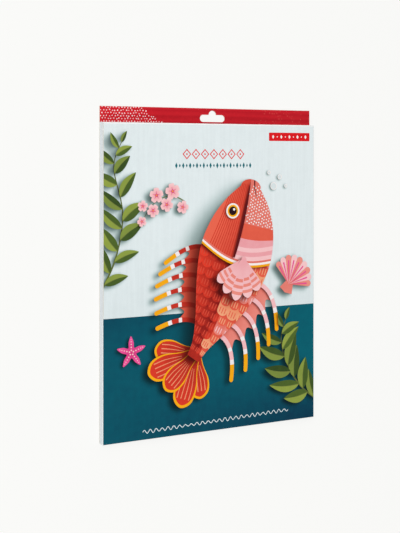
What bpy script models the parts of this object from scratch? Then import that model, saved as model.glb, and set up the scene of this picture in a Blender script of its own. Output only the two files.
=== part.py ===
"""Flat hanging carton, lying on its back with the printed face up.

Metres, +Z up. The origin is at the middle of the underside, +Y runs towards the hanging strip
and +X to the right of the printed face.
"""

import math

import bmesh
import bpy
from mathutils import Matrix, Vector

# Driving dimensions
PACK_WIDTH = 0.260
FACE_HEIGHT = 0.330
HEADER_HEIGHT = 0.0168
PACK_THICKNESS = 0.010
BACK_BOARD = 0.0013
WALL_BOARD = 0.0006
CLEARANCE = 0.0003
FOLD_RADIUS = 0.0007
CUT_EDGE = 0.00015

# Hanging slot: a long slot with round ends and a half-round crown for a hook
SLOT_LENGTH = 0.0306
SLOT_HEIGHT = 0.0077
CROWN_RADIUS = 0.0046
SLOT_ABOVE_FACE = 0.0020
SLOT_OFFSET = 0.0029

# Slits at the ends, where each closing flap meets the cut edges of the side walls
SLIT_WIDTH = 0.0004
SLIT_DEPTH = 0.0012

ARC_STEPS = 14
FOLD_STEPS = 4

# Derived places
TOTAL_HEIGHT = FACE_HEIGHT + HEADER_HEIGHT
FACE_BOTTOM = -TOTAL_HEIGHT / 2
FACE_TOP = FACE_BOTTOM + FACE_HEIGHT
BODY_BOTTOM = BACK_BOARD + CLEARANCE
BODY_THICKNESS = PACK_THICKNESS - BODY_BOTTOM

COLLECTION_NAME = "flat_hanging_carton"
CUTTER_COLLECTION_NAME = "cutters"


def clear_scene():
    for old in list(bpy.data.objects):
        bpy.data.objects.remove(old, do_unlink=True)


def make_collection(name):
    collection = bpy.data.collections.new(name)
    bpy.context.scene.collection.children.link(collection)
    return collection


def make_material(name, colour, roughness):
    material = bpy.data.materials.new(name)
    material.use_nodes = True
    shader = material.node_tree.nodes["Principled BSDF"]
    shader.inputs["Base Color"].default_value = (*colour, 1.0)
    shader.inputs["Roughness"].default_value = roughness
    shader.inputs["Metallic"].default_value = 0.0
    material.diffuse_color = (*colour, 1.0)
    return material


def box_bmesh(size):
    """A box of the given size, centred on the origin."""
    bm = bmesh.new()
    bmesh.ops.create_cube(bm, size=1.0)
    bmesh.ops.scale(bm, vec=Vector(size), verts=bm.verts)
    return bm


def bevel_edges(bm, wanted, width, steps):
    """Round the edges whose two ends both pass the test."""
    edges = [edge for edge in bm.edges if all(wanted(vert.co) for vert in edge.verts)]
    bmesh.ops.bevel(
        bm,
        geom=edges,
        offset=width,
        offset_type="OFFSET",
        segments=steps,
        profile=0.5,
        affect="EDGES",
        clamp_overlap=True,
    )


def object_from_bmesh(bm, name, centre, collection):
    bmesh.ops.recalc_face_normals(bm, faces=bm.faces)
    mesh = bpy.data.meshes.new(name)
    bm.to_mesh(mesh)
    bm.free()
    made = bpy.data.objects.new(name, mesh)
    made.location = centre
    collection.objects.link(made)
    return made


def mark_as_cutter(cutter):
    cutter.hide_render = True
    cutter.display_type = "WIRE"


def cut(target, cutter):
    boolean = target.modifiers.new("cut_" + cutter.name, "BOOLEAN")
    boolean.operation = "DIFFERENCE"
    boolean.solver = "EXACT"
    boolean.object = cutter


def arc_points(centre, radius, start_degrees, end_degrees):
    points = []
    for step in range(ARC_STEPS + 1):
        angle = math.radians(start_degrees + (end_degrees - start_degrees) * step / ARC_STEPS)
        points.append((centre[0] + radius * math.cos(angle), centre[1] + radius * math.sin(angle)))
    return points


def slot_outline():
    """The hanging slot's outline, with x from its middle and y from its lower edge."""
    end_radius = SLOT_HEIGHT / 2
    end_x = SLOT_LENGTH / 2 - end_radius
    right_end = arc_points((end_x, end_radius), end_radius, -90, 90)
    crown = arc_points((0.0, SLOT_HEIGHT), CROWN_RADIUS, 0, 180)
    left_end = arc_points((-end_x, end_radius), end_radius, 90, 270)
    return right_end + crown + left_end


def solid_from_outline(name, points, thickness, collection):
    """A flat outline as a filled 2D curve, thickened and turned into one closed mesh."""
    curve = bpy.data.curves.new(name + "_outline", "CURVE")
    curve.dimensions = "2D"
    curve.fill_mode = "BOTH"
    curve.extrude = thickness / 2
    spline = curve.splines.new("POLY")
    spline.points.add(len(points) - 1)
    for point, (x, y) in zip(spline.points, points):
        point.co = (x, y, 0.0, 1.0)
    spline.use_cyclic_u = True
    outline = bpy.data.objects.new(name + "_outline", curve)
    collection.objects.link(outline)
    bpy.context.view_layer.update()

    evaluated = outline.evaluated_get(bpy.context.evaluated_depsgraph_get())
    mesh = bpy.data.meshes.new_from_object(evaluated)
    bm = bmesh.new()
    bm.from_mesh(mesh)
    bmesh.ops.remove_doubles(bm, verts=bm.verts, dist=0.00001)
    bmesh.ops.recalc_face_normals(bm, faces=bm.faces)
    bm.to_mesh(mesh)
    bm.free()
    mesh.name = name
    made = bpy.data.objects.new(name, mesh)
    made.matrix_world = outline.matrix_world.copy()
    collection.objects.link(made)
    bpy.data.objects.remove(outline, do_unlink=True)
    return made


def make_hanging_back(collection, cutters):
    """The back panel, which runs on past the box as the hanging strip."""
    bm = box_bmesh((PACK_WIDTH, TOTAL_HEIGHT, BACK_BOARD))
    bevel_edges(bm, lambda co: co.z > 0, CUT_EDGE, 1)
    bevel_edges(bm, lambda co: co.z < -BACK_BOARD / 4, CUT_EDGE, 1)
    back = object_from_bmesh(bm, "hanging_back", (0.0, 0.0, BACK_BOARD / 2), collection)

    slot = solid_from_outline("hanging_slot", slot_outline(), 4 * BACK_BOARD, cutters)
    slot.matrix_world = Matrix.Translation(
        (SLOT_OFFSET, FACE_TOP + SLOT_ABOVE_FACE, BACK_BOARD / 2)
    )
    mark_as_cutter(slot)
    cut(back, slot)
    back.data.materials.append(make_material("red_printed_board", (0.468, 0.014, 0.023), 0.45))
    return back


def make_carton_body(collection, cutters):
    """The shut box in front of the back panel: front, side walls and closing flaps."""
    half_thickness = BODY_THICKNESS / 2
    bm = box_bmesh((PACK_WIDTH, FACE_HEIGHT, BODY_THICKNESS))
    bevel_edges(bm, lambda co: co.z > half_thickness / 2, FOLD_RADIUS, FOLD_STEPS)
    centre = (0.0, FACE_BOTTOM + FACE_HEIGHT / 2, BODY_BOTTOM + half_thickness)
    body = object_from_bmesh(bm, "carton_body", centre, collection)

    # Each slit starts under the front fold and runs out through the back of the box.
    slit_top = BODY_BOTTOM + BODY_THICKNESS - FOLD_RADIUS - WALL_BOARD
    slit_low = BODY_BOTTOM - CLEARANCE
    slit_x = PACK_WIDTH / 2 - WALL_BOARD - SLIT_WIDTH / 2
    for end_name, end_y in (("bottom", FACE_BOTTOM), ("top", FACE_TOP)):
        for side_name, side in (("left", -1), ("right", 1)):
            slit_size = (SLIT_WIDTH, 2 * SLIT_DEPTH, slit_top - slit_low)
            slit_centre = (side * slit_x, end_y, (slit_top + slit_low) / 2)
            slit = object_from_bmesh(
                box_bmesh(slit_size), f"{end_name}_{side_name}_slit", slit_centre, cutters
            )
            mark_as_cutter(slit)
            cut(body, slit)
    body.data.materials.append(make_material("pale_blue_board", (0.745, 0.823, 0.831), 0.5))
    return body


def main():
    clear_scene()
    parts = make_collection(COLLECTION_NAME)
    cutters = make_collection(CUTTER_COLLECTION_NAME)
    make_hanging_back(parts, cutters)
    make_carton_body(parts, cutters)


main()
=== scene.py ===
"""Looks of a flat hanging carton: its board, folds and cut edges, and a generic printed design.

The printed shapes are drawn in millimetres on their face, with u to the right from the face's left
edge and v up from its lower edge. They are cut against each other into one flat map, so that no
shape lies over another, and each group of shapes becomes one thin piece on the board.
"""

import math
import random
from dataclasses import dataclass
from functools import cache

import bpy
import numpy as np
from mathutils import Matrix, Vector
from mathutils.geometry import delaunay_2d_cdt


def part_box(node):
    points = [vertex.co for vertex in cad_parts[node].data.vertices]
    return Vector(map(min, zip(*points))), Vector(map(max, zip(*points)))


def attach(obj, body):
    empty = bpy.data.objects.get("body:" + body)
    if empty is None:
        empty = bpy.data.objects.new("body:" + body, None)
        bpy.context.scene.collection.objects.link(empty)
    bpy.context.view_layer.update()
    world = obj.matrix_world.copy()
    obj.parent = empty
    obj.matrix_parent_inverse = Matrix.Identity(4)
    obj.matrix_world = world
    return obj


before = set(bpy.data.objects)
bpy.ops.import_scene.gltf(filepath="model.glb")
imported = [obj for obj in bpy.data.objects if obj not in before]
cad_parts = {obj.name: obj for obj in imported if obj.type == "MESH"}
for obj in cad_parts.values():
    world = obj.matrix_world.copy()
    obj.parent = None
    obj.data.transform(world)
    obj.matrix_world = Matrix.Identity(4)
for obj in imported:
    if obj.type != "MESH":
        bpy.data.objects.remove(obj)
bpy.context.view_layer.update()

MM = 0.001

# The photographed view. The camera is level with the upright pack, so here it looks down.
PHOTO_SIZE = (400, 533)
FOCAL_LENGTH = 1113.2
HORIZON_ROW = 157.3
CAMERA_TURN = math.radians(28.867)
CAMERA_FROM_CORNER = Vector((-0.4612, 0.2938, 1.0414))

# The studio
STUDIO_WHITE = (250, 250, 248)
WORLD_FILL = 0.32
FLOOR_GLOW = 0.88
FLOOR_REACH = 4.0
# Each light's name, place, size and power
LIGHTS = (
    ("key", (-1.6, 1.2, 2.2), 1.8, 53.0),
    ("fill", (-0.8, -2.0, 1.8), 1.8, 30.0),
    ("rim", (1.5, 2.2, 1.0), 1.5, 6.0),
)

# The pack, in millimetres
BODY_LOW, BODY_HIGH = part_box("carton_body")
BACK_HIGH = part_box("hanging_back")[1]
FACE_WIDTH = (BODY_HIGH.x - BODY_LOW.x) / MM
FACE_HEIGHT = (BODY_HIGH.y - BODY_LOW.y) / MM
HEADER_HEIGHT = (BACK_HIGH.y - BODY_HIGH.y) / MM
FOLD = 0.7
CUT_EDGE = 0.2
SLOT_MIDDLE = FACE_WIDTH / 2 + 2.9
SLOT_LENGTH = 30.6
SLOT_HEIGHT = 7.7
SLOT_BASE = 2.0
CROWN_RADIUS = 4.6
SLOT_EASE = 0.1

# The printed pieces, in metres
PRINT_LIFT = 0.00001
PRINT_THICKNESS = 0.00005

# The flat map: how close its points may lie, and how far apart on an outline
SAME_POINT = 0.002
OUTLINE_STEP = 3.0

# How the painted shadows fall: millimetres for each millimetre that a shape seems to stand up
SHADOW_REACH = np.array((-1.05, -0.5))
SHADOW_SPREAD = 0.36
SHADOW_EDGE = 0.45
SHADOW_DEPTH = 0.9
SHADOW_FADE = 60.0
SHADOW_CELL = 0.5
SHADOW_PAD = 24.0
SHADOW_STEP = 1.5
ABOVE_ALL = 99.0

# Each ink's light and deep tone, in sRGB steps
INKS = {
    "pale": ((232, 241, 243), (208, 220, 222)),
    "margin": ((248, 250, 250), (240, 245, 246)),
    "teal": ((2, 98, 113), (5, 52, 77)),
    "coral": ((238, 104, 80), (206, 60, 44)),
    "red": ((230, 62, 42), (118, 14, 18)),
    "maroon": ((120, 26, 28), (58, 8, 16)),
    "salmon": ((241, 148, 136), (222, 94, 78)),
    "blush": ((252, 204, 206), (238, 156, 164)),
    "peach": ((246, 176, 134), (234, 122, 82)),
    "orange": ((252, 184, 20), (238, 136, 12)),
    "hot_pink": ((238, 84, 154), (196, 20, 104)),
    "cream": ((254, 246, 244), (234, 226, 228)),
    "leaf_light": ((152, 168, 72), (104, 124, 58)),
    "leaf_dark": ((86, 108, 44), (30, 56, 28)),
    "stem": ((118, 128, 64), (62, 76, 38)),
    "dark": ((46, 18, 28), (16, 6, 14)),
    "ornament_coral": ((228, 72, 72), (220, 62, 64)),
    "ornament_teal": ((28, 112, 122), (22, 98, 110)),
    "label": ((228, 26, 32), (214, 18, 28)),
    "header": ((216, 34, 46), (188, 22, 36)),
    "header_dot": ((255, 230, 230), (252, 180, 184)),
    "header_faint": ((216, 76, 72), (200, 50, 54)),
}
FIELD_INKS = ("pale", "margin", "teal")
COOL_SHADOW = (220, 255, 249)
WARM_SHADOW = (255, 208, 206)
BRUSH_STRETCH = (1.0, 0.06, 1.0)

# The board's tones and finish
WALL_TONES = ((209, 215, 219), (219, 224, 227))
BACK_TONES = ((214, 226, 229), (226, 235, 237))
CUT_BOARD_TONES = ((214, 208, 198), (240, 236, 229))
RUBBED_WHITE = (236, 232, 224)
# Painted highlight: a white line painted along the left fold's lower half and along the top fold
FOLD_PAINTED_HIGHLIGHT = (246, 248, 248)
# Painted shade: a grey line painted along the upper half of the left fold
FOLD_PAINTED_SHADE = (206, 206, 201)
LAYER_STRETCH = (1.0, 1.0, 8.0)
BOARD_SPECULAR = 0.12
BOARD_ROUGHNESS = (0.45, 0.6)
BOARD_BUMP = 0.15
INK_ROUGHNESS = (0.42, 0.58)
INK_BUMP = 0.12
TOOTH_DEPTH = 0.0002

# How far a surface faces one way where its finish changes
FRONT_FACING = 0.35
FACE_FACING = 0.97
FOLD_FACING = 0.12
WALL_FACING = 0.15
TEAL_REACH = 0.6
SIDE_FACING = 0.9

# The front's fields, in millimetres from its lower left corner like all places below
DIVIDE = 128.6
TOP_MARGIN = 1.5

# The fish: a bent middle line, and half its width at shares of its length
FISH_TAIL = np.array((70.0, 40.0))
FISH_BEND = np.array((150.0, 118.0))
FISH_NOSE = np.array((178.0, 268.0))
BODY_HALF_WIDTHS = (
    (0.23, 8.0), (0.30, 11.0), (0.40, 21.0), (0.52, 34.0), (0.64, 43.0),
    (0.74, 45.0), (0.84, 39.0), (0.92, 27.0), (0.975, 13.0),
)
# How high each part seems to stand over the fields
TAIL_RISE = 5.0
WEB_RISE = 4.0
RAY_RISE = 6.0
FISH_RISE = 15.0
HEAD_RISE = 21.0
SIDE_FIN_RISE = 24.0
# Turn, length and width of each tail petal, in painting order
TAIL_PETALS = ((-52, 50, 24), (52, 50, 24), (-27, 60, 26), (27, 60, 26), (0, 52, 24))
TAIL_RIM = (0.95, 0.86)
# Side, ray ink, its tone, web ink and number of rays
FINS = ((1, "red", 0.38, "coral", 6), (-1, "blush", 0.3, "salmon", 5))
RAY_WIDTH = 4.8
SCALE_ROWS = np.linspace(0.27, 0.725, 12)
SCALE_PITCH = SCALE_ROWS[1] - SCALE_ROWS[0]
SCALE_WIDTH = 12.5
# A scale whose middle lies further left than this, in millimetres, belongs to the back
MIDDLE_SCALE = -0.01
BELLY_INKS = ("coral", "peach", "coral", "salmon")
STROKE_INKS = {"red": "coral", "peach": "coral", "coral": "peach", "salmon": "blush"}
HEAD_X = 0.742
GILL_BOW = 0.045
SPECKLE_PITCH = 3.045

# The plants and the sea things
FROND_RISE = 5.0
LEAF_FULLEST = 0.42
LEAF_BOW = 0.05
LEFT_STEM = ((-6, 150), (14, 190), (22, 236), (12, 284), (22, 312))
RIGHT_STEM = ((268, 18), (245, 34), (226, 59), (216, 90), (223, 116))
SPRIG_RISE = 3.0
BLOSSOM_RISE = 5.0
SPRIG_STEM = ((96, 246), (84, 252), (70, 252), (56, 244), (46, 230))
# Place and radius of each blossom
BLOSSOMS = (
    (92, 241, 6.5), (80, 258, 8.0), (73, 244, 7.0), (61, 254, 7.5),
    (57, 238, 6.5), (45, 243, 5.5), (44, 227, 5.0),
)
SHELL_MIDDLE = np.array((226.0, 152.0))
SHELL_RADIUS = 30.0
SHELL_TURN = 60.0
SHELL_SPREAD = 68.0
SHELL_RIBS = 9
SHELL_RISE = 6.0
STAR_MIDDLE = np.array((32.0, 92.0))
STAR_RADIUS = 17.0
STAR_TURN = 20.0
STAR_RISE = 4.0
BUBBLES = ((206, 262, 4.2), (214, 272, 2.8), (200, 277, 2.2), (222, 262, 2.0))
BUBBLE_RISE = 2.0

# The plain ornaments
RHOMBS = 7
RHOMB_PITCH = 11.0
RHOMB_V = 297.2
RHOMB_TALL = 6.0
RHOMB_OUTER = 0.95
RHOMB_INNER = 0.6886
LOZENGES = 23
LOZENGE_PITCH = 4.15
LOZENGE_V = 285.0
LABEL_LOW = np.array((200.0, 311.9))
LABEL_HIGH = np.array((254.0, 321.2))
LABEL_CORNER = 0.9
# First place, last place and number of the label's figures
LABEL_FIGURES = (205.5, 248.5, 9)
WAVES = 26
WAVE_STEPS = 14
WAVE_START = np.array((45.0, 8.2))
WAVE_RUN = np.array((180.0, 4.0))
WAVE_STROKE = 0.75

# The strip's dots
DOT_PITCH = 3.2
DOT_ROWS = 6
DOT_MARGIN = 1.2
DOTS_END = 46.0
DOTS_SLANT = 28.0
FAINT_START = 190.0
FAINT_RUN = 72.0


def new_object(name, data):
    made = bpy.data.objects.new(name, data)
    bpy.context.scene.collection.objects.link(made)
    return made


def linear(steps):
    """A colour in sRGB steps as linear values."""
    values = [step / 255 for step in steps]
    return tuple(v / 12.92 if v <= 0.04045 else ((v + 0.055) / 1.055) ** 2.4 for v in values)


# Outlines

def arc(centre, radius, start, end, steps):
    """Points on an arc between two angles in degrees."""
    angles = np.radians(np.linspace(start, end, steps + 1))
    return np.stack((centre[0] + radius * np.cos(angles), centre[1] + radius * np.sin(angles)), 1)


def disc(centre, radius, steps):
    return arc(centre, radius, 0, 360, steps)[:-1]


def rectangle(low_u, low_v, high_u, high_v):
    return [(low_u, low_v), (high_u, low_v), (high_u, high_v), (low_u, high_v)]


def polar(radius, degrees):
    angle = math.radians(degrees)
    return np.array((radius * math.cos(angle), radius * math.sin(angle)))


def direction(vector):
    """A vector's direction in degrees."""
    return math.degrees(math.atan2(vector[1], vector[0]))


def turned(points, degrees, centre=(0, 0)):
    """The points turned about the origin, with the origin then moved to a centre."""
    x, y = polar(1.0, degrees)
    return np.asarray(points, float) @ np.array(((x, y), (-y, x))) + centre


def smooth(points, steps=6, closed=False):
    """A smooth line through the points."""
    points = np.asarray(points, float)
    line = []
    for i in range(len(points) if closed else len(points) - 1):
        a, b, c, d = points.take(range(i - 1, i + 3), 0, mode="wrap" if closed else "clip")
        for t in np.arange(steps) / steps:
            bend = (2 * a - 5 * b + 4 * c - d) * t**2 + (3 * b - 3 * c + d - a) * t**3
            line.append(0.5 * (2 * b + (c - a) * t + bend))
    if not closed:
        line.append(points[-1])
    return np.array(line)


def normals(line):
    """Unit vectors to the left of a line, at each of its points."""
    along = np.gradient(line, axis=0)
    along /= np.maximum(np.linalg.norm(along, axis=1, keepdims=True), 1e-9)
    return np.stack((-along[:, 1], along[:, 0]), 1)


def ribbon(line, widths):
    """The outline of a stroke along a line, of one width or of a width at each point."""
    side = normals(line) * np.reshape(widths, (-1, 1)) / 2
    return np.vstack((line + side, (line - side)[::-1]))


def finger(line, width):
    """A stroke with a round tip at its far end."""
    ahead = direction(line[-1] - line[-2])
    tip = arc(line[-1], width / 2, ahead + 90, ahead - 90, 6)
    return np.insert(ribbon(line, width), len(line), tip[1:-1], axis=0)


def petal_outline(left_edge, tip, steps=6):
    """A smooth petal along the first axis, from its left edge and its tip's place."""
    right_edge = [(x, -y) for x, y in reversed(left_edge) if y]
    return smooth([*left_edge, (tip, 0), *right_edge], steps, closed=True)


def dense(outline):
    """The outline with long edges split, so that the map's triangles stay compact."""
    line = []
    for a, b in zip(outline, np.roll(outline, -1, 0)):
        parts = max(1, math.ceil(math.dist(a, b) / OUTLINE_STEP))
        line.extend(a + (b - a) * part / parts for part in range(parts))
    return np.array(line)


def inside(outline, points):
    """Which points lie in an outline, by the even-odd rule."""
    found = np.zeros(len(points), bool)
    near = np.flatnonzero(((points >= outline.min(0)) & (points <= outline.max(0))).all(1))
    x, y = points[near].T
    hits = np.zeros(len(near), bool)
    for (x1, y1), (x2, y2) in zip(outline, np.roll(outline, -1, 0)):
        if y1 != y2:
            hits ^= ((y1 > y) != (y2 > y)) & (x < (x2 - x1) * (y - y1) / (y2 - y1) + x1)
    found[near] = hits
    return found


# The flat map of shapes

@dataclass
class Shape:
    """One printed shape.

    Height is how high it seems to stand, for the painted shadows. A shape without a height is
    printed over all the others and takes no shadow.
    """

    piece: str
    ink: str
    outline: np.ndarray
    tone: object
    height: float
    within: tuple

    def level(self):
        """The height in whole shadow steps."""
        if self.height is None:
            return ABOVE_ALL
        return round(self.height / SHADOW_STEP) * SHADOW_STEP

    def covers(self, points):
        found = inside(self.outline, points)
        for limit in self.within:
            found[found] = inside(limit, points[found])
        return found

    def tones(self, points):
        if callable(self.tone):
            return np.clip(self.tone(points), 0, 1)
        return np.full(len(points), self.tone)


def radial_tone(centre, start, reach):
    """A tone that grows by 1 over a distance from a point, or falls if it is negative."""
    return lambda points: start + np.linalg.norm(points - centre, axis=1) / reach


def running_mean(grid, reach):
    """The grid averaged over 2 * reach + 1 rows."""
    width = 2 * reach + 1
    padded = np.pad(grid, ((reach + 1, reach), (0, 0)), mode="edge")
    sums = np.cumsum(padded, axis=0, dtype=np.float64)
    return (sums[width:] - sums[:-width]) / width


class Relief:
    """The soft shadows that raised shapes throw on lower ones."""

    def __init__(self, shapes, size):
        self.cells = ((size + 2 * SHADOW_PAD) / SHADOW_CELL).astype(int)
        self.heights = np.zeros(self.cells[::-1])
        for shape in shapes:
            if shape.height is None:
                continue
            ends = np.array((shape.outline.min(0), shape.outline.max(0) + SHADOW_CELL))
            low, high = np.clip((ends + SHADOW_PAD) / SHADOW_CELL, 0, self.cells).astype(int)
            u, v = ((np.arange(*span) + 0.5) * SHADOW_CELL - SHADOW_PAD for span in zip(low, high))
            covered = shape.covers(np.stack(np.meshgrid(u, v), -1).reshape(-1, 2))
            window = self.heights[low[1]:high[1], low[0]:high[0]]
            window[covered.reshape(len(v), len(u))] = shape.height

    def blurred(self, mask, spread):
        """The mask softened by about a bell curve, spread in millimetres."""
        reach = max(1, round(spread / SHADOW_CELL))
        for _ in range(4):
            mask = running_mean(mask, reach).T
        return mask

    def sample(self, grid, points):
        place = np.clip((points + SHADOW_PAD) / SHADOW_CELL - 0.5, 0, self.cells - 1.001)
        low = place.astype(int)
        (x, y), (part_x, part_y) = low.T, (place - low).T
        lower = grid[y, x] * (1 - part_x) + grid[y, x + 1] * part_x
        upper = grid[y + 1, x] * (1 - part_x) + grid[y + 1, x + 1] * part_x
        return lower * (1 - part_y) + upper * part_y

    def light(self, points, height):
        """How much light reaches points that seem to stand at a height, from 0 to 1."""
        shadow = np.zeros(len(points))
        rise = SHADOW_STEP
        while height + rise <= self.heights.max():
            mask = (self.heights >= height + rise).astype(np.float32)
            soft = self.blurred(mask, SHADOW_EDGE + SHADOW_SPREAD * rise)
            found = self.sample(soft, points - SHADOW_REACH * rise)
            shadow = np.maximum(shadow, found * math.exp(-rise / SHADOW_FADE))
            rise += SHADOW_STEP
        return 1 - SHADOW_DEPTH * shadow


def lattice(low, high, step, rng):
    """Loose points over a rectangle, which let tones and shadows change inside a shape."""
    width, height = high[0] - low[0], high[1] - low[1]
    columns, rows = int(width / step), int(height / step)
    points = []
    for row in range(rows):
        shift = 0.75 if row % 2 else 0.25
        for column in range(columns):
            u = low[0] + (column + shift + rng.uniform(-0.05, 0.05)) * width / columns
            v = low[1] + (row + 0.5 + rng.uniform(-0.05, 0.05)) * height / rows
            points.append(Vector((u, v)))
    return points


class Face:
    """One printed face, with its shapes in painting order."""

    def __init__(self, size, corner, level, edge, lattices):
        self.size = np.array(size)
        self.corner = np.array(corner)
        self.level = level
        self.edge = edge
        self.lattices = lattices
        self.shapes = []

    def brush(self, piece, height=0.0, *within):
        """A function that adds shapes to one piece, at a height and cut off at some outlines."""
        def paint(ink, outline, tone=0.3, height=height, within=within):
            outline = np.asarray(outline, float)
            self.shapes.append(Shape(piece, ink, outline, tone, height, within))
        return paint

    def flat_map(self):
        """The points and triangles of the map, and the number of the shape on top in each."""
        low, high = np.full(2, self.edge), self.size - self.edge
        limits = {id(limit): limit for shape in self.shapes for limit in shape.within}
        outlines = [np.array(rectangle(*low, *high))]
        outlines += [shape.outline for shape in self.shapes]
        outlines += limits.values()
        points = []
        edges = []
        for outline in outlines:
            outline = dense(outline)
            first, count = len(points), len(outline)
            edges.extend((first + i, first + (i + 1) % count) for i in range(count))
            points.extend(Vector(point) for point in outline)
        rng = random.Random(5)
        for corner, far_corner, step in self.lattices:
            points.extend(lattice(corner, far_corner, step, rng))
        found = delaunay_2d_cdt(points, edges, [], 0, SAME_POINT, False)
        flat = np.array([(point.x, point.y) for point in found[0]])
        triangles = np.array([face for face in found[2] if len(face) == 3])
        centres = flat[triangles].mean(1)
        top = np.full(len(triangles), -1)
        for number, shape in enumerate(self.shapes):
            top[shape.covers(centres)] = number
        top[~((centres > low) & (centres < high)).all(1)] = -1
        return flat, triangles, top

    def build(self):
        """Makes one thin piece of each group of shapes, and gives it its inks."""
        flat, triangles, top = self.flat_map()
        tone = self.tones(flat, triangles, top)
        light = self.lights(flat, triangles, top)
        pieces = []
        for name in dict.fromkeys(shape.piece for shape in self.shapes):
            rows = self.rows_of(top, lambda shape: shape.piece == name and shape.ink is not None)
            inks = [self.shapes[number].ink for number in top[rows]]
            pieces.append(self.slab(name, flat, triangles[rows], inks, tone[rows], light[rows]))
        return pieces

    def rows_of(self, top, wanted):
        """The triangles whose shape passes the test."""
        numbers = [number for number, shape in enumerate(self.shapes) if wanted(shape)]
        return np.flatnonzero(np.isin(top, numbers))

    def tones(self, flat, triangles, top):
        tone = np.zeros((len(triangles), 3))
        for number, shape in enumerate(self.shapes):
            rows = np.flatnonzero(top == number)
            tone[rows] = shape.tones(flat[triangles[rows]].reshape(-1, 2)).reshape(-1, 3)
        return tone

    def lights(self, flat, triangles, top):
        relief = Relief(self.shapes, self.size)
        light = np.ones((len(triangles), 3))
        for level in {shape.level() for shape in self.shapes}:
            rows = self.rows_of(top, lambda shape: shape.level() == level)
            used, where = np.unique(triangles[rows], return_inverse=True)
            light[rows] = relief.light(flat[used], level)[where.reshape(-1, 3)]
        return light

    def slab(self, name, flat, triangles, inks, tone, light):
        """A thin closed piece over some triangles of the map."""
        used, corners = np.unique(triangles, return_inverse=True)
        corners = corners.reshape(-1, 3)
        count = len(used)
        places = flat[used] * MM + self.corner
        bottom = self.level + PRINT_LIFT
        levels = np.repeat((bottom + PRINT_THICKNESS, bottom), count)
        vertices = np.column_stack((np.tile(places, (2, 1)), levels))
        starts, ends = corners.ravel(), corners[:, (1, 2, 0)].ravel()
        border = np.flatnonzero(~np.isin(ends * count + starts, starts * count + ends))
        a, b, owner = starts[border], ends[border], border // 3
        walls = np.column_stack((b, a, a + count, b + count))
        mesh = bpy.data.meshes.new(name)
        polygons = corners.tolist() + (corners[:, ::-1] + count).tolist() + walls.tolist()
        mesh.from_pydata(vertices.tolist(), [], polygons)
        ink_names = list(dict.fromkeys(inks))
        for ink in ink_names:
            mesh.materials.append(ink_material(ink))
        ink_numbers = np.array([ink_names.index(ink) for ink in inks])
        face_inks = np.concatenate((ink_numbers, ink_numbers, ink_numbers[owner]))
        mesh.polygons.foreach_set("material_index", face_inks)
        for attribute_name, values in (("tone", tone), ("light", light)):
            attribute = mesh.attributes.new(attribute_name, "FLOAT", "CORNER")
            wall_values = np.repeat(values.mean(1)[owner], 4)
            corner_values = (values.ravel(), values[:, ::-1].ravel(), wall_values)
            attribute.data.foreach_set("value", np.concatenate(corner_values))
        mesh.update()
        return new_object(name, mesh)


# Materials

def add_node(tree, kind, inputs=(), output=0, **settings):
    """A node with its inputs by name or number. Returns one of its outputs."""
    node = tree.nodes.new("ShaderNode" + kind)
    for key, value in settings.items():
        setattr(node, key, value)
    for key, value in dict(inputs).items():
        if isinstance(value, bpy.types.NodeSocket):
            tree.links.new(value, node.inputs[key])
        elif isinstance(value, tuple) and node.inputs[key].type == "RGBA":
            node.inputs[key].default_value = (*linear(value), 1.0)
        else:
            node.inputs[key].default_value = value
    return node.outputs[output]


def object_place(tree):
    return add_node(tree, "TexCoord", output="Object")


def noise(tree, place, scale, detail=2.0, roughness=0.5):
    inputs = {"Vector": place, "Scale": scale, "Detail": detail, "Roughness": roughness}
    return add_node(tree, "TexNoise", inputs)


def stretched(tree, place, scale):
    return add_node(tree, "Mapping", {"Vector": place, "Scale": scale})


def ramp(tree, value, from_low, from_high, to_low, to_high):
    inputs = enumerate((value, from_low, from_high, to_low, to_high))
    return add_node(tree, "MapRange", inputs)


def maths(tree, operation, first, second):
    return add_node(tree, "Math", {0: first, 1: second}, operation=operation)


def product(tree, first, second):
    return maths(tree, "MULTIPLY", first, second)


def above(tree, value, limit):
    """1 where a value is above a limit, and 0 elsewhere."""
    return maths(tree, "GREATER_THAN", value, limit)


def below(tree, value, limit):
    return maths(tree, "LESS_THAN", value, limit)


def between(tree, value, low, high):
    return product(tree, above(tree, value, low), below(tree, value, high))


def mixed(tree, factor, first, second, blend="MIX"):
    """Two colours mixed. A colour is a socket, or sRGB steps."""
    inputs = {0: factor, 6: first, 7: second}
    return add_node(tree, "Mix", inputs, 2, data_type="RGBA", blend_type=blend)


def scaled(tree, colour, amount):
    return add_node(tree, "VectorMath", {0: colour, "Scale": amount}, operation="SCALE")


def new_material(name):
    material = bpy.data.materials.new(name)
    material.use_nodes = True
    return material, material.node_tree, material.node_tree.nodes["Principled BSDF"]


def paper_surface(tree, shader, place, roughness, bump):
    """The sheen and the fine tooth of coated board."""
    tooth = noise(tree, place, 1500.0)
    both = maths(tree, "ADD", tooth, noise(tree, place, 60.0))
    relief = {"Strength": bump, "Distance": TOOTH_DEPTH, "Height": tooth}
    tree.links.new(ramp(tree, both, 0.7, 1.3, *roughness), shader.inputs["Roughness"])
    tree.links.new(add_node(tree, "Bump", relief), shader.inputs["Normal"])
    shader.inputs["Specular IOR Level"].default_value = BOARD_SPECULAR
    return tooth


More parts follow.
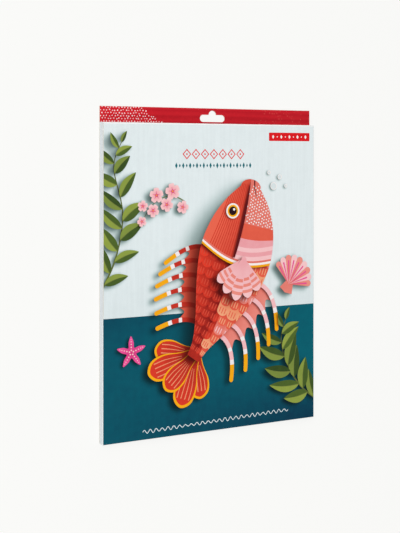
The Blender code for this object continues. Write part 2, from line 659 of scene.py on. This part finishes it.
@cache
def ink_material(ink):
    """A printed ink: two tones, slight mottling, the painted shadow and the board's tooth."""
    material, tree, shader = new_material("ink_" + ink)
    place = object_place(tree)
    tooth = paper_surface(tree, shader, place, INK_ROUGHNESS, INK_BUMP)
    tone = add_node(tree, "Attribute", output="Fac", attribute_name="tone")
    light = add_node(tree, "Attribute", output="Fac", attribute_name="light")
    mottle = ramp(tree, noise(tree, place, 130.0, 4.0, 0.6), 0.25, 0.75, -0.1, 0.1)
    colour = mixed(tree, maths(tree, "ADD", tone, mottle), *INKS[ink])
    grain = ramp(tree, tooth, 0.3, 0.7, 0.975, 1.025)
    if ink in FIELD_INKS:
        streaks = noise(tree, stretched(tree, place, BRUSH_STRETCH), 330.0)
        grain = product(tree, grain, ramp(tree, streaks, 0.3, 0.7, 0.978, 1.022))
    colour = scaled(tree, scaled(tree, colour, grain), light)
    shade = maths(tree, "SUBTRACT", 1.0, light)
    tint = COOL_SHADOW if ink in FIELD_INKS else WARM_SHADOW
    tree.links.new(mixed(tree, shade, colour, tint, "MULTIPLY"), shader.inputs["Base Color"])
    return material


def board_material(name):
    """A plain board, with what its colours depend on: the place, the direction and a mottle."""
    material, tree, shader = new_material(name)
    place = object_place(tree)
    page_height = add_node(tree, "SeparateXYZ", {0: place}, "Y")
    normal = add_node(tree, "NewGeometry", output="Normal")
    facing = add_node(tree, "SeparateXYZ", {0: normal}).node.outputs
    paper_surface(tree, shader, place, BOARD_ROUGHNESS, BOARD_BUMP)
    mottle = noise(tree, place, 90.0, 4.0, 0.6)
    return material, tree, shader, place, page_height, facing, mottle


def carton_material():
    """The carton: pale walls, a grey painted shade line and a white painted highlight on the folds
    at the left and above, teal round the lower folds.
    """
    material, tree, shader, place, page_height, facing, mottle = board_material("carton_board")
    pale = mixed(tree, mottle, *WALL_TONES)
    teal = mixed(tree, mottle, *INKS["teal"])
    low_half = below(tree, page_height, BODY_LOW.y + DIVIDE * MM)
    front = above(tree, facing["Z"], FRONT_FACING)
    lower_end = below(tree, facing["Y"], -FRONT_FACING)
    teal_part = product(tree, low_half, maths(tree, "MAXIMUM", front, lower_end))
    colour = mixed(tree, teal_part, pale, teal)

    print_reach = ramp(tree, low_half, 0.0, 1.0, -FOLD_FACING, -TEAL_REACH)
    left_side = below(tree, facing["X"], print_reach)
    # Painted light on the left fold: a grey painted shade line in its upper half, a white painted
    # highlight in its lower half
    left_fold_painted_light = product(tree, left_side, above(tree, facing["Z"], WALL_FACING))
    colour = mixed(tree, left_fold_painted_light, colour, mixed(tree, low_half, FOLD_PAINTED_SHADE, FOLD_PAINTED_HIGHLIGHT))
    # A white painted highlight along the top fold
    top_fold_painted_highlight = product(tree, above(tree, facing["Y"], FOLD_FACING), front)
    colour = mixed(tree, top_fold_painted_highlight, colour, FOLD_PAINTED_HIGHLIGHT)

    on_fold = between(tree, facing["Z"], FOLD_FACING, FACE_FACING)
    rubbed = ramp(tree, noise(tree, place, 420.0, 5.0, 0.7), 0.56, 0.74, 0.0, 0.7)
    colour = mixed(tree, product(tree, on_fold, rubbed), colour, RUBBED_WHITE)
    tree.links.new(colour, shader.inputs["Base Color"])
    return material


def back_material():
    """The back panel: white board at its cut edges, and plain printed fields on its underside."""
    material, tree, shader, place, page_height, facing, mottle = board_material("hanging_board")
    pale = mixed(tree, mottle, *BACK_TONES)
    teal = mixed(tree, mottle, *INKS["teal"])
    red = mixed(tree, mottle, *INKS["header"])
    low_half = below(tree, page_height, BODY_LOW.y + DIVIDE * MM)
    header = above(tree, page_height, BODY_HIGH.y)
    printed = mixed(tree, header, mixed(tree, low_half, pale, teal), red)
    layers = noise(tree, stretched(tree, place, LAYER_STRETCH), 500.0, 4.0, 0.65)
    board = mixed(tree, layers, *CUT_BOARD_TONES)
    side = between(tree, facing["Z"], -SIDE_FACING, SIDE_FACING)
    tree.links.new(mixed(tree, side, printed, board), shader.inputs["Base Color"])
    return material


# The fish

def fish_point(x, side):
    """The place on the face at a share x of the fish's length and some millimetres to its left."""
    x = np.asarray(x, float)[..., None]
    middle = (1 - x) ** 2 * FISH_TAIL + 2 * x * (1 - x) * FISH_BEND + x**2 * FISH_NOSE
    along = 2 * (1 - x) * (FISH_BEND - FISH_TAIL) + 2 * x * (FISH_NOSE - FISH_BEND)
    along /= np.linalg.norm(along, axis=-1, keepdims=True)
    left = np.stack((-along[..., 1], along[..., 0]), -1)
    return middle + left * np.asarray(side, float)[..., None]


FISH_STEPS = np.diff(fish_point(np.linspace(0, 1, 60), 0), axis=0)
FISH_LENGTH = float(np.linalg.norm(FISH_STEPS, axis=1).sum())


def half_width(x):
    return np.interp(x, *smooth(BODY_HALF_WIDTHS, 8).T)


def fish_outline():
    snout_x, snout_radius = BODY_HALF_WIDTHS[-1]
    xs = np.linspace(BODY_HALF_WIDTHS[0][0], snout_x, 40)
    left = fish_point(xs, half_width(xs))
    right = fish_point(xs, -half_width(xs))
    angles = np.radians(np.linspace(90, -90, 14))
    tip_xs = snout_x + 0.6 * snout_radius * np.cos(angles) / FISH_LENGTH
    tip = fish_point(tip_xs, snout_radius * np.sin(angles))
    return np.vstack((left, tip[1:-1], right[::-1]))


def fish_place(points):
    """Each point's share of the fish's length and its distance to the fish's left, nearly."""
    xs = np.linspace(0, 1.05, 141)
    axis = fish_point(xs, 0)
    left = fish_point(xs, 1) - axis
    nearest = ((points[:, None] - axis) ** 2).sum(2).argmin(1)
    gap = points - axis[nearest]
    side = (gap * left[nearest]).sum(1)
    ahead = (gap @ np.array(((0, -1), (1, 0))) * left[nearest]).sum(1)
    return xs[nearest] + ahead / FISH_LENGTH, side


def add_tail(front):
    """Rounded petals with a bright rim and thin rays."""
    root = fish_point(0.26, 0.0)
    back = direction(FISH_TAIL - FISH_BEND)
    paint = front.brush("print_fish_tail")
    for order, (turn, length, width) in enumerate(TAIL_PETALS):
        shares = ((0.3, 0.3), (0.62, 0.5), (0.88, 0.42))
        left_edge = [(-4.0, 4.0)] + [(x * length, y * width) for x, y in shares]
        petal = petal_outline(left_edge, length)
        inner = turned(petal * TAIL_RIM, back + turn, root)
        height = TAIL_RISE + 0.5 * order
        paint("orange", turned(petal, back + turn, root), 0.25, height)
        paint("red", inner, radial_tone(root, 0.62, -110), height)
        for ray in (-0.24, -0.08, 0.08, 0.24):
            line = np.array(((0.28, 0.5 * ray), (0.6, 1.1 * ray), (0.84, 1.15 * ray)))
            stroke = ribbon(smooth(line * (length, width), 5), np.linspace(0.4, 1.2, 11))
            paint("peach", turned(stroke, back + turn, root), 0.5, height, (inner,))


def fin_ray(number, side):
    """The middle line of one fin ray, from under the body outwards."""
    x = 0.40 + 0.064 * number
    start = half_width(x) - 6
    reach = 38 + 6 * math.sin(math.pi * (number + 0.5) / 6)
    steps = np.linspace(0, 1, 13)
    return fish_point(x - 0.02 - 0.13 * steps**2, side * (start + reach * steps**0.9))


def add_web(paint, ink, low, high):
    """The web between two fin rays, hollow at its free edge."""
    hollow = (low[5] + high[5]) / 2 - (low[7] - low[5] + high[7] - high[5]) * 0.12
    edge = smooth((low[7], hollow, high[7]), 5)
    web = np.vstack((low[:7], edge, high[6::-1]))
    paint(ink, web, radial_tone(hollow, 0.15, 40), WEB_RISE)


def add_fins(front):
    """Curved rays on both sides, with webs between them, pale joints and bright tips."""
    paint = front.brush("print_fish_fins", RAY_RISE)
    for side, ink, tone, web_ink, count in FINS:
        rays = [fin_ray(number, side) for number in range(count)]
        for low, high in zip(rays, rays[1:]):
            add_web(paint, web_ink, low, high)
        for line in rays:
            whole = finger(line, RAY_WIDTH)
            paint(ink, whole, tone)
            paint("orange", finger(line[9:], RAY_WIDTH), within=(whole,))
            for cut in (5, 8):
                joint = line[cut:cut + 2] + (line[cut + 1] - line[cut]) * 0.25
                paint("cream", ribbon(joint, RAY_WIDTH + 0.2), 0.4, within=(whole,))


def scale_tone(on_back, edge_x, depth, own):
    """A scale is bright at its free edge and darkens towards the scales that lie over it."""
    def tone(points):
        x, side = fish_place(points)
        fold = np.where(side > 0, 0.92 - side / 36, 0.2 - 0.004 * side) if on_back else 0.0
        return 0.55 * fold + own + 0.55 * np.clip((x - edge_x) / depth, 0, 1) ** 1.5
    return tone


def add_scale(paint, row, low, high, rng):
    """One scale of a row, from low to high across the fish, with three short strokes."""
    x = SCALE_ROWS[row]
    height = FISH_RISE + 0.3 * row
    middle, half = (low + high) / 2, (high - low) / 2
    depth = 0.8 * half / FISH_LENGTH
    angles = np.radians(np.linspace(0, 180, 11))
    edge = fish_point(x - depth * np.sin(angles), middle + half * np.cos(angles))
    covered = fish_point(x + 1.6 * SCALE_PITCH, (low, high))
    on_back = middle > MIDDLE_SCALE
    ink = "red" if on_back else BELLY_INKS[row % 4]
    own = rng.uniform(0.0, 0.12) if on_back else rng.uniform(0.05, 0.3)
    tone = scale_tone(on_back, x - depth, SCALE_PITCH + depth, own)
    paint(ink, np.vstack((edge, covered)), tone, height)
    for share in (-0.52, 0.0, 0.52):
        reach = depth * math.sqrt(1 - share**2)
        xs = np.linspace(x - 0.55 * reach, x + 0.35 * SCALE_PITCH, 3)
        stroke = ribbon(fish_point(xs, middle + share * half), 1.1)
        paint(STROKE_INKS[ink], stroke, 0.7 if on_back else 0.2, height)


def add_scales(front, body):
    """The body with rows of rounded scales, each row over the one behind it."""
    rng = random.Random(11)
    paint = front.brush("print_fish_scales", FISH_RISE, body)
    paint("red", body, 0.6)
    for row, x in enumerate(SCALE_ROWS):
        width = half_width(min(x + 0.03, 0.9))
        count = max(3, round(2 * width / SCALE_WIDTH))
        shift = 0.5 * (row % 2)
        for number in range(-1, count + 1):
            ends = (-width + 2 * width * (end + shift) / count for end in (number, number + 1))
            add_scale(paint, row, *ends, rng)


def head_from(x, bow=GILL_BOW):
    """Everything ahead of a line across the fish, which bows towards the tail in the middle."""
    sides = np.linspace(-1, 1, 21)
    line = fish_point(x - bow * np.cos(sides * math.pi / 2), sides * (half_width(0.76) + 2))
    return np.vstack((line, fish_point(1.03, (48.0, -48.0))))


def add_cheek(paint, body):
    """The belly half: pale arcs at the gill, a plain coral band and a speckled snout."""
    for number in range(4):
        paint("blush", head_from(HEAD_X + 0.017 * number), 0.85 if number % 2 else 0.15)
    snout = head_from(0.845, 0.005)
    paint("coral", head_from(0.812, 0.03), 0.25)
    paint("salmon", snout, 0.55)
    rng = random.Random(3)
    for row in range(-14, 2):
        for column in range(24):
            x = 0.846 + (column + 0.5 * (row % 2)) * SPECKLE_PITCH / FISH_LENGTH
            x += rng.uniform(-0.5, 0.5) / FISH_LENGTH
            side = row * SPECKLE_PITCH + rng.uniform(-0.5, 0.5)
            if x < 0.985 and side < 0:
                dot = disc(fish_point(x, side), rng.uniform(0.7, 0.95), 8)
                paint("cream", dot, rng.uniform(0, 0.3), within=(body, snout))


def brow_tone(points):
    x, side = fish_place(points)
    return 0.72 - side / 44 + 2.0 * np.clip(0.78 - x, 0, 1)


def add_brow(front, body):
    """The back half, with fine ribs and a deep crease along the fish's middle line."""
    paint = front.brush("print_fish_head", HEAD_RISE, body, head_from(HEAD_X))
    lower_edge = fish_point(np.linspace(0.66, 1.03, 14), np.linspace(3, 1, 14))
    paint("coral", np.vstack((lower_edge, fish_point((1.03, 0.66), 56.0))), brow_tone)
    for number in range(11):
        sides = (5.5 + 3.1 * number) * np.linspace(1.0, 0.62, 12)
        paint("red", ribbon(fish_point(np.linspace(0.70, 0.985, 12), sides), 0.9), 0.22)
    widths = 3.4 * np.sin(np.linspace(0.12, 1, 16) * math.pi) ** 0.6 + 0.3
    crease = ribbon(fish_point(np.linspace(0.70, 0.995, 16), 1.6), widths)
    paint("maroon", crease, 0.45, HEAD_RISE + 1.5)


def add_head(front, body):
    """The gill bands, both halves of the head, the eye and the mouth."""
    paint = front.brush("print_fish_head", HEAD_RISE, body)
    for x, ink, tone in ((0.716, "orange", 0.4), (0.725, "cream", 0.2), (0.734, "salmon", 0.6)):
        paint(ink, head_from(x), tone)
    add_cheek(paint, body)
    add_brow(front, body)
    eye = fish_point(0.875, 17.0)
    paint_eye = front.brush("print_fish_head", HEAD_RISE + 1.5)
    for radius, ink, tone in ((8.4, "cream", 0.2), (6.6, "orange", 0.2), (4.8, "dark", 0.3)):
        paint_eye(ink, disc(eye, radius, 28), tone)
    paint_eye("cream", disc(eye + (1.6, 1.6), 1.4, 12), 0.0)
    line = fish_point(np.linspace(0.945, 1.01, 8), -3.5 - 6 * np.linspace(1, 0, 8) ** 2)
    paint("maroon", ribbon(line, np.linspace(0.6, 1.8, 8)), 0.6)


def add_side_fin(front):
    """A fan of rounded rays over the flank, with deeper rings."""
    root = fish_point(0.70, -11.0)
    back = direction(FISH_TAIL - FISH_NOSE) + 12
    paint = front.brush("print_fish_side_fin")
    for order, turn in enumerate((-44, 44, -22, 22, 0)):
        length = 44 - 0.12 * abs(turn)
        left_edge = [(-2.0, 2.0), (length * 0.45, 5.4), (length * 0.84, 6.4)]
        petal = turned(petal_outline(left_edge, length), back + turn, root)
        height = SIDE_FIN_RISE + 0.4 * order
        paint("blush", petal, radial_tone(root, 0.75, -58), height)
        for start, end, tone in ((0.78, 0.86, 0.1), (0.62, 0.70, 0.2), (0.46, 0.54, 0.3)):
            inner = arc((0, 0), length * start, -12, 12, 6)
            outer = arc((0, 0), length * end, 12, -12, 6)
            ring = turned(np.vstack((inner, outer)), back + turn, root)
            paint("salmon", ring, tone, height, (petal,))


def add_fish(front):
    body = fish_outline()
    add_tail(front)
    add_fins(front)
    add_scales(front, body)
    add_head(front, body)
    add_side_fin(front)


# The rest of the printed design

def pale_tone(points):
    u, v = points.T
    low_part = np.clip((215 - v) / 80, 0, 1)
    return 0.24 * (1 - u / FACE_WIDTH) + low_part * (0.2 + 0.14 * u / FACE_WIDTH)


def teal_tone(points):
    u, v = points.T
    left = (0.34 + 0.3 * np.clip((v - 95) / 35, 0, 1)) * (1 - u / FACE_WIDTH)
    low_right = 0.95 * np.clip(1 - v / 65, 0, 1) * (0.05 + 0.95 * u / FACE_WIDTH)
    return 0.06 + left + low_right


def add_fields(front):
    """The pale field over the teal one, with a bare line at the top."""
    paint_pale = front.brush("print_pale_field")
    paint_teal = front.brush("print_teal_field")
    paint_pale("pale", rectangle(0, DIVIDE, FACE_WIDTH, FACE_HEIGHT), pale_tone)
    paint_teal("teal", rectangle(0, 0, FACE_WIDTH, DIVIDE), teal_tone)
    paint_pale("margin", rectangle(0, FACE_HEIGHT - TOP_MARGIN, FACE_WIDTH, FACE_HEIGHT), 0.0)


def add_leaf(paint, base, turn, length, width, height, tone):
    """A pointed leaf with a light and a dark half and a thin vein."""
    along = polar(length, turn)
    side = polar(1.0, turn + 90)
    t = np.linspace(0, 1, 13)[:, None]
    swell = np.sin(np.pi * t ** (math.log(0.5) / math.log(LEAF_FULLEST))) ** 0.85
    middle = base + t * along + LEAF_BOW * length * np.sin(np.pi * t) * side
    edge = side * (width / 2 * swell)
    paint("leaf_light", np.vstack((middle, (middle + edge)[-2:0:-1])), tone, height)
    paint("leaf_dark", np.vstack((middle, (middle - edge)[-2:0:-1])), tone, height)
    paint("stem", ribbon(middle[:-1], np.linspace(0.9, 0.2, 12)), 0.1, height)


def add_frond(front, stem, leaves, leaf_length, leaf_width, seed):
    """A bent stem with pairs of pointed leaves."""
    rng = random.Random(seed)
    line = smooth(stem, 12)
    paint = front.brush("print_fronds")
    paint("stem", ribbon(line, np.linspace(2.2, 0.7, len(line))), 0.5, FROND_RISE - 1)
    lefts = normals(line)
    for number in range(leaves):
        share = 0.12 + 0.86 * number / (leaves - 1)
        place = int(share * (len(line) - 2))
        ahead = direction((lefts[place][1], -lefts[place][0]))
        size = math.sin(math.pi * (0.22 + 0.66 * share))
        side = 1 if number % 2 else -1
        turn = side * rng.uniform(42, 58) if number < leaves - 1 else 0
        length = leaf_length * size * rng.uniform(0.9, 1.08)
        width = leaf_width * size * rng.uniform(0.9, 1.1)
        height = FROND_RISE + 0.25 * number
        add_leaf(paint, line[place], ahead + turn, length, width, height, rng.uniform(0.05, 0.7))


def add_blossom(paint, centre, radius, height, turn):
    """Five round petals about a bright eye."""
    petal = petal_outline([(0.0, 0.0), (0.55, 0.42), (1.0, 0.34)], 1.06, 5) * radius
    vein = ribbon(np.array(((0.12, 0), (0.4, 0), (0.62, 0))) * radius, (0.8, 0.6, 0.2))
    for number in range(5):
        angle = turn + 72 * number
        tone = radial_tone(centre, 1.0, -radius)
        paint("blush", turned(petal, angle, centre), tone, height + 0.1 * number)
        paint("hot_pink", turned(vein, angle, centre), height=height + 0.1 * number)
    paint("hot_pink", disc(centre, radius * 0.24, 14), 0.5, height + 0.8)
    paint("orange", disc(centre, radius * 0.12, 10), 0.2, height + 1.0)


def add_sprig(front):
    """A hanging sprig of small blossoms."""
    line = smooth(SPRIG_STEM, 10)
    paint = front.brush("print_blossoms", SPRIG_RISE)
    paint("stem", ribbon(line, np.linspace(1.4, 0.6, len(line))))
    for number, (u, v, radius) in enumerate(BLOSSOMS):
        add_blossom(paint, np.array((u, v)), radius, BLOSSOM_RISE + 0.4 * number, 31 * number)


def add_shell(front):
    """A ribbed fan shell with its hinge."""
    hinge = np.array(((-0.26, 0.30), (0.10, 0.16), (0.10, -0.16), (-0.26, -0.30), (-0.34, 0)))
    paint = front.brush("print_shell", SHELL_RISE)
    paint("salmon", turned(hinge * SHELL_RADIUS, SHELL_TURN, SHELL_MIDDLE), 0.4)
    step = 2 * SHELL_SPREAD / SHELL_RIBS
    for number in range(SHELL_RIBS):
        low = -SHELL_SPREAD + step * number
        middle = low + step / 2
        reach = SHELL_RADIUS * (1.0 - 0.16 * (abs(middle) / SHELL_SPREAD) ** 2)
        tip_radius = reach * math.radians(step) / 2
        tip = arc(polar(reach, middle), tip_radius, middle - 90, middle + 90, 8)
        rib = np.vstack(((polar(0, 0), polar(reach, low)), tip))
        rib = turned(rib, SHELL_TURN, SHELL_MIDDLE)
        tone = radial_tone(SHELL_MIDDLE, 0.9, -SHELL_RADIUS)
        height = SHELL_RISE + 0.15 * (number % 2)
        paint("blush" if number % 2 else "salmon", rib, tone, height)
        line = np.array((polar(reach * 0.2, middle), polar(reach * 0.92, middle)))
        groove = turned(ribbon(line, (0.4, 1.8)), SHELL_TURN, SHELL_MIDDLE)
        paint("hot_pink", groove, 0.1, height, (rib,))


def add_star(front):
    """A five-armed star with soft arms and pale dots."""
    hollow, shoulder = turned([(0.34, 0)], 36)[0], turned([(0.62, -0.17)], 72)[0]
    arm = np.array(((1.0, 0), (0.62, 0.17), hollow, shoulder)) * STAR_RADIUS
    arms = [turned(arm, STAR_TURN + 72 * number) for number in range(5)]
    outline = smooth(np.vstack(arms), 4, closed=True) + STAR_MIDDLE
    paint = front.brush("print_star", STAR_RISE)
    paint("hot_pink", outline, radial_tone(STAR_MIDDLE, 0.7, -STAR_RADIUS))
    for number in range(5):
        for share, size in ((0.14, 0.9), (0.32, 0.8), (0.5, 0.7), (0.66, 0.6), (0.8, 0.5)):
            place = STAR_MIDDLE + polar(STAR_RADIUS * share, STAR_TURN + 72 * number)
            paint("blush", disc(place, size, 9), 0.1)


def add_bubbles(front):
    paint = front.brush("print_bubbles", BUBBLE_RISE)
    for u, v, radius in BUBBLES:
        paint("cream", disc((u, v), radius, 24), 0.1)
        paint("pale", disc((u, v), radius - 0.7, 22), 0.5)


def rhomb(centre, half_wide, half_tall):
    return np.array(((0, half_tall), (-half_wide, 0), (0, -half_tall), (half_wide, 0))) + centre


def row_places(count, pitch):
    """Places along the face for a row of figures about its middle."""
    return [FACE_WIDTH / 2 + (number - (count - 1) / 2) * pitch for number in range(count)]


def add_ornament(front):
    """A chain of thin rhombs over a row of lozenges."""
    paint = front.brush("print_ornament", None)
    for u in row_places(RHOMBS, RHOMB_PITCH):
        centre = (u, RHOMB_V)
        for size, ink in ((RHOMB_OUTER, "ornament_coral"), (RHOMB_INNER, "pale")):
            paint(ink, rhomb(centre, RHOMB_PITCH / 2 * size, RHOMB_TALL * size), 0.12)
        paint("ornament_coral", disc(centre, 1.0, 12))
    for number, u in enumerate(row_places(LOZENGES, LOZENGE_PITCH)):
        wide, tall = (1.1, 2.0) if number % 2 else (1.5, 3.3)
        paint("ornament_teal", rhomb((u, LOZENGE_V), wide, tall))


def add_label(front):
    """A bare red bar with round corners and a row of pale lozenges and dots."""
    low, high = LABEL_LOW + LABEL_CORNER, LABEL_HIGH - LABEL_CORNER
    corners = enumerate((high, (low[0], high[1]), low, (high[0], low[1])))
    bar = [arc(corner, LABEL_CORNER, 90 * turn, 90 * turn + 90, 4) for turn, corner in corners]
    paint = front.brush("print_label", None)
    paint("label", np.vstack(bar))
    for number, u in enumerate(np.linspace(*LABEL_FIGURES)):
        centre = (u, (LABEL_LOW[1] + LABEL_HIGH[1]) / 2)
        paint("cream", disc(centre, 0.7, 14) if number % 2 else rhomb(centre, 1.5, 2.2), 0.1)


def add_wave_line(front):
    """A thin uneven wave low on the teal field."""
    rng = random.Random(17)
    heights = [rng.uniform(0.9, 2.1) for _ in range(WAVES + 1)]
    turns = np.arange(WAVES * WAVE_STEPS + 1) / WAVE_STEPS
    swing = np.interp(turns, range(WAVES + 1), heights) * np.sin(2 * math.pi * turns)
    line = WAVE_START + WAVE_RUN * (turns / WAVES)[:, None] + swing[:, None] * (0, 1)
    paint = front.brush("print_wave_line", None)
    paint("pale", ribbon(line, WAVE_STROKE), 0.2)


def make_front():
    size = (FACE_WIDTH, FACE_HEIGHT)
    lattices = [((0, 0), size, 2.6), ((20, 14), (226, 292), 1.5)]
    front = Face(size, BODY_LOW.xy, BODY_HIGH.z, FOLD, lattices)
    add_fields(front)
    add_frond(front, LEFT_STEM, leaves=15, leaf_length=34, leaf_width=13, seed=21)
    add_frond(front, RIGHT_STEM, leaves=13, leaf_length=38, leaf_width=15, seed=8)
    add_sprig(front)
    add_shell(front)
    add_star(front)
    add_bubbles(front)
    add_fish(front)
    add_ornament(front)
    add_label(front)
    add_wave_line(front)
    return front.build()


# The hanging strip

def slot_outline():
    """The hook slot's outline on the strip, a little larger than the hole in the board."""
    end_radius = SLOT_HEIGHT / 2
    end_x = SLOT_LENGTH / 2 - end_radius
    middle_v = SLOT_BASE + end_radius
    crown_middle = (SLOT_MIDDLE, SLOT_BASE + SLOT_HEIGHT)
    crown_start = math.degrees(math.asin(SLOT_EASE / (CROWN_RADIUS + SLOT_EASE)))
    right = arc((SLOT_MIDDLE + end_x, middle_v), end_radius + SLOT_EASE, -90, 90, 14)
    crown = arc(crown_middle, CROWN_RADIUS + SLOT_EASE, crown_start, 180 - crown_start, 14)
    left = arc((SLOT_MIDDLE - end_x, middle_v), end_radius + SLOT_EASE, 90, 270, 14)
    return np.vstack((right, crown, left))


def faint_share(u):
    """How many of the faint dots stand at a place."""
    return 0.55 * math.sin((u - FAINT_START) / FAINT_RUN * math.pi)


def add_strip_dots(paint):
    """Close dots at the left end, ending on a slant, and faint ones at the right end."""
    rng = random.Random(2)
    for row in range(DOT_ROWS):
        row_v = DOT_MARGIN + row * (HEADER_HEIGHT - 2 * DOT_MARGIN) / (DOT_ROWS - 1)
        end_u = DOTS_END + DOTS_SLANT * (1 - row_v / HEADER_HEIGHT) + rng.uniform(-3, 3)
        for column in range(int(FACE_WIDTH / DOT_PITCH)):
            u = 1.4 + (column + 0.5 * (row % 2)) * DOT_PITCH + rng.uniform(-0.5, 0.5)
            v = row_v + rng.uniform(-0.55, 0.55)
            if u < end_u:
                dot = disc((u, v), rng.uniform(0.6, 0.82), 9)
                paint("header_dot", dot, rng.uniform(0, 1) ** 2)
            elif u > FAINT_START and rng.random() < faint_share(u):
                paint("header_faint", disc((u, v), 0.7, 7), rng.uniform(0, 1))


def strip_tone(points):
    """Long uneven streaks, brighter under the close dots."""
    u, v = points.T
    brighter = 0.6 * np.clip(1.4 - u / 50, 0, 1)
    broad = 0.3 * np.sin(v * 0.95 + u * 0.012 + 0.6 * np.sin(u * 0.03))
    return 0.5 - brighter + broad + 0.15 * np.sin(v * 2.9)


def make_strip():
    size = (FACE_WIDTH, HEADER_HEIGHT)
    corner = (BODY_LOW.x, BODY_HIGH.y)
    strip = Face(size, corner, BACK_HIGH.z, CUT_EDGE, [((0, 0), size, 2.0)])
    paint = strip.brush("print_header")
    paint("header", rectangle(0, 0, *size), strip_tone)
    add_strip_dots(paint)
    paint(None, slot_outline())
    return strip.build()


# The stage

def make_floor():
    """A bright table that glows a little, so that the pack throws only a faint shadow."""
    mesh = bpy.data.meshes.new("floor")
    reach = FLOOR_REACH
    corners = [(*corner, 0) for corner in rectangle(-reach, -reach, reach, reach)]
    mesh.from_pydata(corners, [], [(0, 1, 2, 3)])
    material, _, shader = new_material("floor")
    white = np.array(linear(STUDIO_WHITE))
    shader.inputs["Base Color"].default_value = (*(white * (1 - FLOOR_GLOW)), 1.0)
    shader.inputs["Emission Color"].default_value = (*white, 1.0)
    shader.inputs["Emission Strength"].default_value = FLOOR_GLOW
    shader.inputs["Roughness"].default_value = 0.9
    shader.inputs["Specular IOR Level"].default_value = 0.0
    mesh.materials.append(material)
    new_object("floor", mesh)


def make_camera():
    corner = Vector((BODY_LOW.x, BODY_LOW.y, BODY_HIGH.z))
    height = PHOTO_SIZE[1]
    camera_data = bpy.data.cameras.new("camera")
    camera_data.lens = FOCAL_LENGTH / height * camera_data.sensor_width
    camera_data.shift_y = -(height / 2 - HORIZON_ROW) / height
    camera = new_object("camera", camera_data)
    right = Vector((math.cos(CAMERA_TURN), 0, math.sin(CAMERA_TURN)))
    back = Vector((-math.sin(CAMERA_TURN), 0, math.cos(CAMERA_TURN)))
    turn = Matrix((right, Vector((0, 1, 0)), back)).transposed()
    camera.matrix_world = Matrix.Translation(corner + CAMERA_FROM_CORNER) @ turn.to_4x4()
    bpy.context.scene.camera = camera


def make_lights():
    for name, place, size, power in LIGHTS:
        light_data = bpy.data.lights.new(name, "AREA")
        light_data.size = size
        light_data.energy = power
        light = new_object(name, light_data)
        light.location = place
        light.rotation_euler = (-light.location).to_track_quat("-Z", "Y").to_euler()


def make_world():
    """A white studio that looks brighter than the light it gives."""
    world = bpy.data.worlds.new("studio")
    world.use_nodes = True
    tree = world.node_tree
    background = tree.nodes["Background"]
    background.inputs["Color"].default_value = (*linear(STUDIO_WHITE), 1.0)
    seen = add_node(tree, "LightPath", output="Is Camera Ray")
    tree.links.new(ramp(tree, seen, 0.0, 1.0, WORLD_FILL, 1.0), background.inputs["Strength"])
    bpy.context.scene.world = world
    bpy.context.scene.view_settings.view_transform = "Standard"


def main():
    make_camera()
    make_lights()
    make_world()
    make_floor()
    for piece in make_front():
        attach(piece, "root")
    for piece in make_strip():
        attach(piece, "root")
    for node, material in (("carton_body", carton_material()), ("hanging_back", back_material())):
        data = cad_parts[node].data
        data.materials.clear()
        data.materials.append(material)


main()
